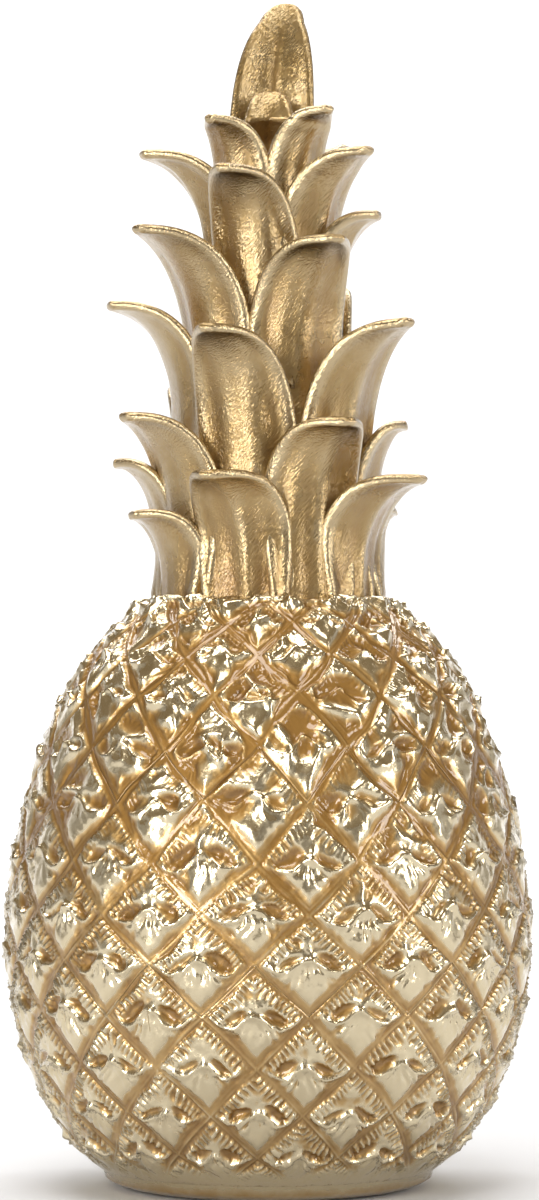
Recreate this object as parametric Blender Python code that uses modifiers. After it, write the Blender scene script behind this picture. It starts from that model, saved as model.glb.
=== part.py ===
"""Cast pineapple ornament: a body of carved diamond scales under a tall crown of curling leaves.

One casting, so one closed solid. Metres, +Z up, the origin at the middle of the flat underside.
Bearings are in degrees about Z: 0 faces the viewer (-Y), and positive turns towards +X.
"""

import math
from typing import NamedTuple

import bmesh
import bpy
from mathutils import Vector

MM = 0.001
NAME = "pineapple_ornament"

# Body: height and radius of the skin that the scales stand on, in mm, from the underside up
SKIN_OUTLINE = (
    (0.0, 30.0),
    (3.4, 35.8),
    (8.5, 41.6),
    (18.5, 48.3),
    (34.0, 54.0),
    (54.0, 56.2),
    (75.0, 53.6),
    (93.0, 48.6),
    (108.0, 41.6),
    (118.0, 33.4),
    (123.5, 26.8),
)
UNDERSIDE_RADIUS = 28.0 * MM
SHOULDER_HEIGHT = 126.0 * MM
SLOPE_STEP = 0.5

# Scales: how many stand round the body, and the heights in mm at which their grooves cross
SCALES_ROUND = 16
HALF_SCALE = 180.0 / SCALES_ROUND
SCALE_BEARING = -3.0
CROSSING_HEIGHTS = (3.0, 9.5, 18.4, 28.1, 38.6, 48.9, 58.9, 69.5, 80.8, 92.1, 102.6, 111.0, 117.8, 123.0)
GROOVE_DEPTH = 2.3 * MM
BAND_DEPTH = 0.8 * MM

# One scale: name, place across and up its diamond (-1 to 1), and height above the groove in mm
SCALE_POINTS = (
    ("crest", 0.0, 0.52, 1.5),
    ("fringe", 0.40, 0.42, 1.3),
    ("hollow", 0.36, 0.14, 0.4),
    ("lip", 0.50, -0.08, 1.7),
    ("thorn", 0.0, 0.03, 2.7),
    ("bulge", 0.0, -0.50, 2.1),
)
# The faces of a scale's right half, counter-clockwise; the left half mirrors them
SCALE_FACES = (
    ("top", "crest", "fringe"),
    ("top", "fringe", "side"),
    ("crest", "hollow", "fringe"),
    ("fringe", "hollow", "side"),
    ("hollow", "lip", "side"),
    ("crest", "thorn", "hollow"),
    ("thorn", "lip", "hollow"),
    ("thorn", "bulge", "lip"),
    ("bulge", "side", "lip"),
    ("bulge", "bottom", "side"),
)

# Crown stem: radius and height in mm, from its tip down to where it sits inside the body
STEM_OUTLINE = (
    (0.0, 226.0),
    (4.5, 222.0),
    (8.0, 213.0),
    (10.8, 199.0),
    (13.8, 180.0),
    (18.6, 156.0),
    (20.6, 140.0),
    (22.3, 124.0),
    (20.0, 112.0),
    (0.0, 112.0),
)
STEM_SIDES = 16

# Leaves: wall thickness, how far in mm a blade is sunk in the stem, and the lowest height of a foot
LEAF_THICKNESS = 2.2 * MM
LEAF_SINK = 0.4
LOWEST_FOOT = 118.0
# Low leaves overlap the feet of higher ones: how far out in mm the lowest foot stands, up to what tip
OVERLAP = 1.6
OVERLAP_FROM = 140.0
OVERLAP_TO = 180.0
# How finely a blade is divided. Rows stand closer together towards the tip by this power
LEAF_ROWS = 7
SHORT_LEAF_ROWS = 6
SHORT_LEAF = 36.0
LEAF_COLUMNS = 5
ROW_POWER = 1.5
# A blade's middle leaves the stem by this power of the part of its length
LEAF_CURL = 2.0
# Blade width: share at the foot, how it swells and narrows again, how it ends, and the least share
FOOT_SHARE = 0.84
SWELL_SHARE = 0.42
NARROWING_SHARE = 0.26
TAPER_POWER = 3.2
TAPER_ROUNDING = 0.8
SQUARE_END_POWER = 8
TIP_SHARE = 0.16
# The cupped fold across a blade: how much of it is gone at the tip, and how fast it leaves the stem
CUP_LOSS = 0.72
FREEING_RATE = 2.5
FREEING_POWER = 1.5
SPINE_STEP = 0.04
# How much deeper than its blade a root goes into the stem, up to what part of the length
ROOT_DEPTH = 2.5 * MM
ROOT_END = 0.35
ROOT_POWER = 1.5
SHARP_ANGLE = 35.0


class Leaf(NamedTuple):
    """One leaf of the crown. Its tip's height and reach from the axis, its length and widths are in mm."""

    bearing: float
    tip: float
    length: float
    reach: float
    half_width: float
    sway: float = 0.0
    droop: float = 0.9
    cup: float = 5.5
    blunt: float = 0.0
    stand: float = 0.0


LEAVES = (
    # the two that stand up in the middle of the top
    Leaf(180, 254, 62, 12, 9.2, -4.0, 0.6, 3.0, 0.58, 7.5),
    Leaf(180, 233, 34, 4, 6.2, -0.5, 0.6, 2.5, 0.75),
    # top ring
    Leaf(-35, 224, 38, 21, 6.6, -0.5),
    Leaf(36, 226, 40, 21, 6.6, 0.5),
    Leaf(120, 222, 38, 20, 8.0),
    Leaf(-68, 217.5, 40, 29, 9.0),
    Leaf(178, 214, 40, 26, 9.0),
    # second ring
    Leaf(-8, 212, 46, 27, 9.0, -6.0, 1.0, 5.5, 0.3),
    Leaf(46, 217, 46, 28, 8.6, 1.5),
    Leaf(70, 205, 44, 25, 9.0),
    Leaf(-140, 202, 44, 31, 9.5),
    # third ring
    Leaf(-50, 200, 50, 35, 10.5, -1.0),
    Leaf(22, 197, 50, 31, 10.5, 3.0, 1.0, 5.5, 0.3),
    Leaf(172, 190, 50, 34, 10.5),
    Leaf(-72, 185.5, 50, 35.5, 10.0),
    # fourth ring, each with its foot on the shoulder of the body
    Leaf(-10, 178, 60, 34, 10.5, -7.0, 1.0, 5.5, 0.3),
    Leaf(46, 180, 62, 39, 10.5, 1.5),
    Leaf(132, 192, 74, 21, 10.0),
    Leaf(84, 161, 44, 29.5, 10.0),
    Leaf(-145, 172, 54, 36, 10.5),
    # lowest ring
    Leaf(-53, 161, 43, 37, 10.5, -1.0),
    Leaf(24, 159, 41, 34, 10.5, 3.0, 1.0, 5.5, 0.3),
    Leaf(170, 156, 38, 37, 10.5),
    Leaf(-86, 153, 35, 33, 9.5),
    Leaf(-12, 148, 30, 34, 10.0, -6.0, 1.0, 5.5, 0.3),
    Leaf(-60, 141, 23, 33, 10.0),
    Leaf(54, 148, 30, 39, 10.5, 1.0),
    Leaf(92, 143, 25, 27, 9.5),
    Leaf(132, 144, 26, 36, 10.0),
    Leaf(-150, 144, 26, 36, 10.0),
)


def clear_scene() -> None:
    """Remove every object that the file opened with."""
    for obj in list(bpy.data.objects):
        bpy.data.objects.remove(obj, do_unlink=True)


def new_collection(name: str) -> bpy.types.Collection:
    """Add a collection to the scene."""
    collection = bpy.data.collections.new(name)
    bpy.context.scene.collection.children.link(collection)
    return collection


def new_object(name: str, shape: bmesh.types.BMesh, collection: bpy.types.Collection) -> bpy.types.Object:
    """Turn a finished shape into an object."""
    mesh = bpy.data.meshes.new(name)
    shape.to_mesh(mesh)
    shape.free()
    obj = bpy.data.objects.new(name, mesh)
    collection.objects.link(obj)
    return obj


def gold_lacquer() -> bpy.types.Material:
    """Pale gold metallic lacquer on cast resin."""
    material = bpy.data.materials.new("gold_lacquered_resin")
    material.use_nodes = True
    shader = material.node_tree.nodes["Principled BSDF"]
    shader.inputs["Base Color"].default_value = (0.60, 0.43, 0.20, 1.0)
    shader.inputs["Metallic"].default_value = 1.0
    shader.inputs["Roughness"].default_value = 0.32
    return material


def outline_radius(height: float) -> float:
    """Read the body's radius at a height, both in mm, from a smooth curve through its outline."""
    last = len(SKIN_OUTLINE) - 1
    index = 0
    while index < last - 1 and height > SKIN_OUTLINE[index + 1][0]:
        index += 1
    start_height, start = SKIN_OUTLINE[index]
    end_height, end = SKIN_OUTLINE[index + 1]
    before_height, before = SKIN_OUTLINE[max(index - 1, 0)]
    after_height, after = SKIN_OUTLINE[min(index + 2, last)]
    gap = end_height - start_height
    part = min(max((height - start_height) / gap, 0.0), 1.0)
    slope_in = (end - before) / (end_height - before_height) * gap
    slope_out = (after - start) / (after_height - start_height) * gap
    change = end - start
    curve = 3.0 * change - 2.0 * slope_in - slope_out
    twist = slope_in + slope_out - 2.0 * change
    return start + part * (slope_in + part * (curve + part * twist))


def outward(bearing: float) -> Vector:
    """The level direction in which a bearing points."""
    angle = math.radians(bearing)
    return Vector((math.sin(angle), -math.cos(angle), 0.0))


def skin_point(bearing: float, height: float, above: float) -> Vector:
    """A point at a bearing and a height in mm, standing above the body's skin along its normal."""
    rise = outline_radius(height + SLOPE_STEP) - outline_radius(height - SLOPE_STEP)
    level = outward(bearing)
    normal = (level - Vector((0.0, 0.0, rise / (2.0 * SLOPE_STEP)))).normalized()
    return level * outline_radius(height) * MM + Vector((0.0, 0.0, height * MM)) + normal * above


def carve_scale(shape: bmesh.types.BMesh, crossings: dict, row: int, place: int) -> None:
    """Carve one scale inside the four groove crossings round it.

    Places count half scales round the body, so the scale's sides are one place away in its own row.
    """
    places = 2 * SCALES_ROUND
    low, middle, high = CROSSING_HEIGHTS[row - 1 : row + 2]
    for side in (1, -1):
        points = {
            "top": crossings[row + 1, place],
            "bottom": crossings[row - 1, place],
            "side": crossings[row, (place + side) % places],
        }
        for name, across, up, height in SCALE_POINTS:
            if across == 0.0 and side < 0:
                points[name] = centre_line[name]
                continue
            bearing = SCALE_BEARING + (place + side * across) * HALF_SCALE
            level = middle + up * (high - middle if up > 0.0 else middle - low)
            points[name] = shape.verts.new(skin_point(bearing, level, height * MM - GROOVE_DEPTH))
        if side > 0:
            centre_line = points
        for names in SCALE_FACES:
            corners = [points[name] for name in names]
            shape.faces.new(corners[::side])


def build_body(collection: bpy.types.Collection) -> bpy.types.Object:
    """Make the body: rows of scales, half a scale out of step with each other, on the turned outline."""
    shape = bmesh.new()
    places = 2 * SCALES_ROUND
    last = len(CROSSING_HEIGHTS) - 1
    crossings = {}
    for row, height in enumerate(CROSSING_HEIGHTS):
        for place in range((row + 1) % 2, places, 2):
            bearing = SCALE_BEARING + place * HALF_SCALE
            depth = BAND_DEPTH if row in (0, last) else GROOVE_DEPTH
            crossings[row, place] = shape.verts.new(skin_point(bearing, height, -depth))
    for row in range(1, last):
        for place in range(row % 2, places, 2):
            carve_scale(shape, crossings, row, place)

    peak = shape.verts.new((0.0, 0.0, SHOULDER_HEIGHT))
    rim = {}
    for place in range(1, places, 2):
        bearing = SCALE_BEARING + place * HALF_SCALE
        rim[place] = shape.verts.new(outward(bearing) * UNDERSIDE_RADIUS)
    for place in range(0, places, 2):
        before = (place - 1) % places
        after = (place + 1) % places
        shape.faces.new((crossings[0, before], crossings[0, after], crossings[1, place]))
        shape.faces.new((rim[before], rim[after], crossings[0, after], crossings[0, before]))
    for place in range(last % 2, places, 2):
        before = (place - 1) % places
        after = (place + 1) % places
        shape.faces.new((crossings[last - 1, place], crossings[last, after], crossings[last, before]))
        shape.faces.new((crossings[last, before], crossings[last, after], peak))
    shape.faces.new([rim[place] for place in sorted(rim, reverse=True)])
    return new_object(NAME, shape, collection)


def build_stem(collection: bpy.types.Collection) -> bpy.types.Object:
    """Turn the stem that the leaves grow from."""
    shape = bmesh.new()
    points = [shape.verts.new((radius * MM, 0.0, height * MM)) for radius, height in STEM_OUTLINE]
    for start, end in zip(points, points[1:]):
        shape.edges.new((start, end))
    stem = new_object("stem", shape, collection)
    turning = stem.modifiers.new("turning", "SCREW")
    turning.steps = STEM_SIDES
    turning.render_steps = STEM_SIDES
    turning.use_merge_vertices = True
    turning.merge_threshold = 0.0001
    return stem


def stem_radius(height: float) -> float:
    """Read the stem's radius at a height, both in mm."""
    for (upper, top), (lower, bottom) in zip(STEM_OUTLINE, STEM_OUTLINE[1:]):
        if bottom <= height <= top and top > bottom:
            return upper + (lower - upper) * (top - height) / (top - bottom)
    return 0.0


def blade_width(along: float, blunt: float) -> float:
    """How wide a leaf is at a part of its length, as a share of its half width."""
    swell = FOOT_SHARE + SWELL_SHARE * along - NARROWING_SHARE * along * along
    taper = max(0.0, 1.0 - along**TAPER_POWER) ** TAPER_ROUNDING
    square_end = blunt * math.sqrt(max(0.0, 1.0 - along**SQUARE_END_POWER))
    return max(swell * taper, square_end, TIP_SHARE)


def foot_overlap(leaf: Leaf) -> float:
    """How far out in mm a low leaf's foot stands, over the feet of the leaves above it."""
    return OVERLAP * min(max((OVERLAP_TO - leaf.tip) / (OVERLAP_TO - OVERLAP_FROM), 0.0), 1.0)


def spine_point(leaf: Leaf, along: float) -> tuple[float, float]:
    """The radius and height in mm of a leaf's middle: it hugs the stem, then curls out to its tip."""
    foot = max(leaf.tip - leaf.length, LOWEST_FOOT)
    height = foot + (leaf.tip - foot) * along * (1.0 + leaf.droop * (1.0 - along))
    hugging = max(stem_radius(height), leaf.stand) - LEAF_SINK + foot_overlap(leaf) * (1.0 - along)
    spread = leaf.reach + LEAF_SINK - max(stem_radius(leaf.tip), leaf.stand)
    return hugging + spread * max(along, 0.0) ** LEAF_CURL, height


def leaf_point(leaf: Leaf, along: float, across: float) -> Vector:
    """A point on a leaf's inner face: along runs 0 to 1 from foot to tip, across -1 to 1."""
    radius, height = spine_point(leaf, along)
    low = spine_point(leaf, along - SPINE_STEP)
    high = spine_point(leaf, along + SPINE_STEP)
    level = outward(leaf.bearing)
    sideways = outward(leaf.bearing + 90.0)
    up = Vector((0.0, 0.0, 1.0))
    normal = (level * (high[1] - low[1]) - up * (high[0] - low[0])).normalized()
    share = blade_width(along, leaf.blunt)
    hug = (leaf.half_width * share) ** 2 / (2.0 * radius)
    free = leaf.cup * share * (1.0 - CUP_LOSS * along * along)
    loose = min(1.0, FREEING_RATE * along) ** FREEING_POWER
    fold = (hug + (free - hug) * loose) * across * across
    offset = leaf.sway * along * along + leaf.half_width * share * across
    return (level * radius + up * height + sideways * offset - normal * fold) * MM - normal * root_depth(along)


def root_depth(along: float) -> float:
    """How much thicker than its blade a leaf is, inwards, where it grows out of the stem."""
    return ROOT_DEPTH * max(0.0, 1.0 - along / ROOT_END) ** ROOT_POWER


def build_leaf(number: int, leaf: Leaf, collection: bpy.types.Collection) -> bpy.types.Object:
    """Bend a flat blade into a leaf and thicken it outwards."""
    shape = bmesh.new()
    rows = SHORT_LEAF_ROWS if leaf.length < SHORT_LEAF else LEAF_ROWS
    bmesh.ops.create_grid(shape, x_segments=rows - 1, y_segments=LEAF_COLUMNS - 1, size=1.0)
    thickest = LEAF_THICKNESS + ROOT_DEPTH
    shares = []
    for vert in shape.verts:
        along = 1.0 - (0.5 - 0.5 * vert.co.x) ** ROW_POWER
        vert.co = leaf_point(leaf, along, -vert.co.y)
        shares.append((LEAF_THICKNESS + root_depth(along)) / thickest)
    obj = new_object(f"leaf_{number:02d}", shape, collection)
    group = obj.vertex_groups.new(name="thickness")
    for index, share in enumerate(shares):
        group.add([index], share, "REPLACE")
    wall = obj.modifiers.new("wall", "SOLIDIFY")
    wall.thickness = thickest
    wall.vertex_group = group.name
    wall.offset = 1.0
    return obj


def hide_helper(obj: bpy.types.Object) -> None:
    """Keep a shape that is only joined into another one out of the render."""
    obj.hide_render = True
    obj.display_type = "WIRE"


def join_crown(body: bpy.types.Object, crown_shapes: bpy.types.Collection) -> None:
    """Fuse the crown with the body and fill the pockets that overlapping leaves close off."""
    union = body.modifiers.new("crown", "BOOLEAN")
    union.operation = "UNION"
    union.operand_type = "COLLECTION"
    union.collection = crown_shapes
    union.solver = "EXACT"
    union.use_self = True
    joined = body.evaluated_get(bpy.context.evaluated_depsgraph_get())
    shape = bmesh.new()
    shape.from_mesh(joined.to_mesh())
    joined.to_mesh_clear()
    body.modifiers.remove(union)

    unseen = set(shape.verts)
    skins = []
    while unseen:
        skin = {unseen.pop()}
        edge_of_skin = list(skin)
        while edge_of_skin:
            vert = edge_of_skin.pop()
            found = {edge.other_vert(vert) for edge in vert.link_edges} & unseen
            unseen -= found
            skin |= found
            edge_of_skin += found
        skins.append(skin)
    outer = max(skins, key=len)
    bmesh.ops.delete(shape, geom=[vert for vert in shape.verts if vert not in outer], context="VERTS")
    shape.to_mesh(body.data)
    shape.free()


def main() -> None:
    """Build the ornament."""
    clear_scene()
    ornament = new_collection(NAME)
    crown_shapes = new_collection("crown_shapes")
    body = build_body(ornament)
    body.data.materials.append(gold_lacquer())
    hide_helper(build_stem(crown_shapes))
    for number, leaf in enumerate(LEAVES, start=1):
        hide_helper(build_leaf(number, leaf, crown_shapes))
    join_crown(body, crown_shapes)
    body.data.shade_smooth()
    body.data.set_sharp_from_angle(angle=math.radians(SHARP_ANGLE))


main()
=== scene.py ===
"""Looks of the cast pineapple ornament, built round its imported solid.

The ornament is one hollow casting in polyresin, sprayed with a pale gold metallic lacquer and then
wiped with a thin brown-gold glaze that stays in the hollows. It is dressed here as a body of carved
diamond scales, in three bands that meet in a groove, and a crown of thick curling leaves.

Everything is in the frame of the solid: +Z up, the origin at the middle of the flat underside, -Y
towards the viewer. Names that end in _mm hold millimetres, and bearings are in degrees about Z:
0 faces the viewer and positive turns towards +X. Sizes that the solid has too repeat its values.
"""

import logging
import math
from dataclasses import dataclass
from enum import Enum
from typing import NamedTuple

import bpy
import numpy as np
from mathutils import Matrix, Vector

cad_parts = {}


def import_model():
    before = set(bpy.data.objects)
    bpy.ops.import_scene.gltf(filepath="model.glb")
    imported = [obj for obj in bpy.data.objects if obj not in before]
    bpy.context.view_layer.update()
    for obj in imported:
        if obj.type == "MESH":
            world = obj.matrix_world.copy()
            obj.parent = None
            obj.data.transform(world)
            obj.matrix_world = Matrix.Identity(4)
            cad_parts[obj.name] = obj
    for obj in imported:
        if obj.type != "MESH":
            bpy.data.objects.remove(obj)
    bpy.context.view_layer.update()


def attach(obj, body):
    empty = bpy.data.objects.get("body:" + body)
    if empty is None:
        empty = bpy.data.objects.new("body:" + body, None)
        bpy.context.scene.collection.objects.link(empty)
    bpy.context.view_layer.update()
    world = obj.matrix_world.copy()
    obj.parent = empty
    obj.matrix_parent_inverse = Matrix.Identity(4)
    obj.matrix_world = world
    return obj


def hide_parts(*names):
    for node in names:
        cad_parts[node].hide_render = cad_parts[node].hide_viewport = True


LOG = logging.getLogger("pineapple_ornament")
MM = 0.001
NODE = "pineapple_ornament"
BODY = "root"
FRAME_HEIGHT_PX = 1200
# How many steps of the mesh lie along one edge of a scale
FINE_STEPS = 36
# Where the rougher carving of the upper rows begins and is whole, as shares of the body's height
UPPER_FROM = 0.35
UPPER_FULL = 0.75


# Small helpers


def linear(code: str) -> tuple[float, float, float, float]:
    """Turn an sRGB hex colour into a linear one.

    Args:
        code: The colour as six hex digits, such as "C8A96B".

    Returns:
        Red, green, blue and an alpha of 1, in linear light.
    """
    shares = [int(code[start : start + 2], 16) / 255.0 for start in (0, 2, 4)]
    light = [share / 12.92 if share <= 0.04045 else ((share + 0.055) / 1.055) ** 2.4 for share in shares]
    return light[0], light[1], light[2], 1.0


def ease(start: float, end: float, value: np.ndarray) -> np.ndarray:
    """Rise smoothly from 0 at start to 1 at end. Start may be the higher of the two.

    Args:
        start: Where the rise begins.
        end: Where it is complete.
        value: What is measured against them.

    Returns:
        The share of the rise, from 0 to 1.
    """
    share = np.clip((value - start) / (end - start), 0.0, 1.0)
    return share * share * (3.0 - 2.0 * share)


def hump(value: np.ndarray, width: float | np.ndarray) -> np.ndarray:
    """A soft bump, 1 in its middle and fallen to a third at its width on either side."""
    return np.exp(-((value / width) ** 2))


def upper_share(climb: np.ndarray) -> np.ndarray:
    """How much of the upper rows' rougher carving there is, from the foot, 0, to the shoulder, 1."""
    return ease(UPPER_FROM, UPPER_FULL, climb)


def level_ring(radius: float, height: float, sides: int) -> np.ndarray:
    """Place points evenly round the axis at one height.

    Args:
        radius: Their distance from the axis.
        height: Their height.
        sides: How many there are.

    Returns:
        The points, one row of three each.
    """
    angle = np.arange(sides) * 2.0 * math.pi / sides
    return np.stack([np.cos(angle) * radius, np.sin(angle) * radius, np.full(sides, height)], axis=1)


def loft(index: np.ndarray) -> np.ndarray:
    """Join closed rings of points with four-sided faces.

    Args:
        index: The places of the points, one row for each ring.

    Returns:
        The corners of the faces, one row of four each.
    """
    after = np.roll(index, -1, axis=1)
    return np.stack([index[:-1], after[:-1], after[1:], index[1:]], axis=2).reshape(-1, 4)


class HandCarving:
    """Smooth repeatable unevenness in space, as a modeller's tool leaves it in clay."""

    # Large odd numbers that scramble a seed and a cell's place into a value without a pattern
    SEED_FACTOR = 2654435761
    AXIS_FACTORS = (73856093, 19349663, 83492791)
    MIX_FACTOR = 1274126177
    # Creases: how far they are bent and how far apart the bends are, how steep their sides are and how
    # far apart the fine ones are, lengths as shares of the distance between the main ones
    BEND = 0.35
    BEND_PITCH = 1.3
    STEEPNESS = 2.4
    FINE_PITCH = 0.52

    def __init__(self, seed: int) -> None:
        """Keep the seed that tells this unevenness from another."""
        self.seed = seed

    def _corner(self, cell: np.ndarray, step: tuple[int, int, int]) -> np.ndarray:
        """The value at one corner of each cell.

        Args:
            cell: Whole-number cells, one row of three each.
            step: Which corner of the cell is read.

        Returns:
            One value a cell, from -1 to 1.
        """
        mixed = np.uint64(self.seed * self.SEED_FACTOR % 2**32)
        for axis, factor in enumerate(self.AXIS_FACTORS):
            mixed = mixed ^ ((cell[:, axis] + step[axis]).astype(np.uint64) * np.uint64(factor))
        mixed = (mixed ^ (mixed >> np.uint64(13))) * np.uint64(self.MIX_FACTOR)
        # The lowest 16 bits are kept and spread from -1 to 1.
        mixed = (mixed ^ (mixed >> np.uint64(16))) & np.uint64(0xFFFF)
        return mixed.astype(float) / 32767.5 - 1.0

    def smooth(self, points_mm: np.ndarray, pitch_mm: float) -> np.ndarray:
        """Rolling unevenness.

        Args:
            points_mm: Where it is read, one row of three each.
            pitch_mm: The distance from one swelling to the next.

        Returns:
            One value a point, from -1 to 1.
        """
        scaled = points_mm / pitch_mm + 1000.0
        cell = np.floor(scaled)
        part = scaled - cell
        part = part**3 * (part * (part * 6.0 - 15.0) + 10.0)
        cell = cell.astype(np.int64)
        total = np.zeros(len(points_mm))
        for x in (0, 1):
            for y in (0, 1):
                for z in (0, 1):
                    weight = np.ones(len(points_mm))
                    for axis, step in enumerate((x, y, z)):
                        weight = weight * (part[:, axis] if step else 1.0 - part[:, axis])
                    total += weight * self._corner(cell, (x, y, z))
        return total

    def creased(self, points_mm: np.ndarray, pitch_mm: float, fine_share: float) -> np.ndarray:
        """Unevenness with sharp ridges between dished faces, as in crumpled foil.

        Args:
            points_mm: Where it is read, one row of three each.
            pitch_mm: The distance from one ridge to the next.
            fine_share: The share of a second set of ridges, about half as far apart.

        Returns:
            One value a point, near 1 on a ridge and 0 or below in a dish.
        """
        wide_mm = self.BEND_PITCH * pitch_mm
        sway = [HandCarving(self.seed + 11 + axis).smooth(points_mm, wide_mm) for axis in range(3)]
        bent = points_mm + self.BEND * pitch_mm * np.stack(sway, axis=1)
        between = HandCarving(self.seed + 5)
        coarse = 1.0 - self.STEEPNESS * np.abs(self.smooth(bent, pitch_mm))
        fine = 1.0 - self.STEEPNESS * np.abs(between.smooth(bent, self.FINE_PITCH * pitch_mm))
        return (1.0 - fine_share) * coarse + fine_share * fine


def new_mesh_object(
    name: str, points: np.ndarray, faces: list[np.ndarray], values: dict[str, np.ndarray]
) -> bpy.types.Object:
    """Make a smooth-shaded object from points and faces.

    Args:
        name: The name of the object.
        points: Its points in metres, one row of three each.
        faces: Arrays of faces, each array with one length of face.
        values: Named values, one a point, that its material reads.

    Returns:
        The object, linked into the scene.
    """
    mesh = bpy.data.meshes.new(name)
    lists = [face.tolist() for group in faces for face in group]
    mesh.from_pydata(points.tolist(), [], lists)
    for label, numbers in values.items():
        attribute = mesh.attributes.new(label, "FLOAT", "POINT")
        attribute.data.foreach_set("value", numbers.astype(np.float32))
    mesh.update()
    mesh.shade_smooth()
    obj = bpy.data.objects.new(name, mesh)
    bpy.context.scene.collection.objects.link(obj)
    return obj


def add_node(
    tree: bpy.types.NodeTree, kind: str, settings: dict[str, object], links: dict[str, bpy.types.NodeSocket]
) -> bpy.types.Node:
    """Add a node with its settings and what feeds it.

    Args:
        tree: The tree that it goes into.
        kind: The node's type, as in "ShaderNodeTexNoise".
        settings: Values by the name of a property or, if there is none, of an input.
        links: Outputs by the name of the input that they feed. "#1" means the input at that place.

    Returns:
        The node.
    """
    node = tree.nodes.new(kind)
    for name, value in settings.items():
        if name.startswith("#"):
            node.inputs[int(name[1:])].default_value = value
        elif hasattr(node, name):
            setattr(node, name, value)
        else:
            node.inputs[name].default_value = value
    for name, output in links.items():
        tree.links.new(output, node.inputs[int(name[1:])] if name.startswith("#") else node.inputs[name])
    return node


def add_noise(
    tree: bpy.types.NodeTree, place: bpy.types.NodeSocket, size_mm: float, settings: dict[str, object]
) -> bpy.types.NodeSocket:
    """Add a noise pattern of a real size.

    Args:
        tree: The tree that it goes into.
        place: Where it is read.
        size_mm: The size of its patches.
        settings: Its other values, as for add_node.

    Returns:
        Its value, from 0 to 1.
    """
    settings = {"Scale": 1.0 / (size_mm * MM), **settings}
    return add_node(tree, "ShaderNodeTexNoise", settings, {"Vector": place}).outputs["Fac"]


# Finishes


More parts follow.
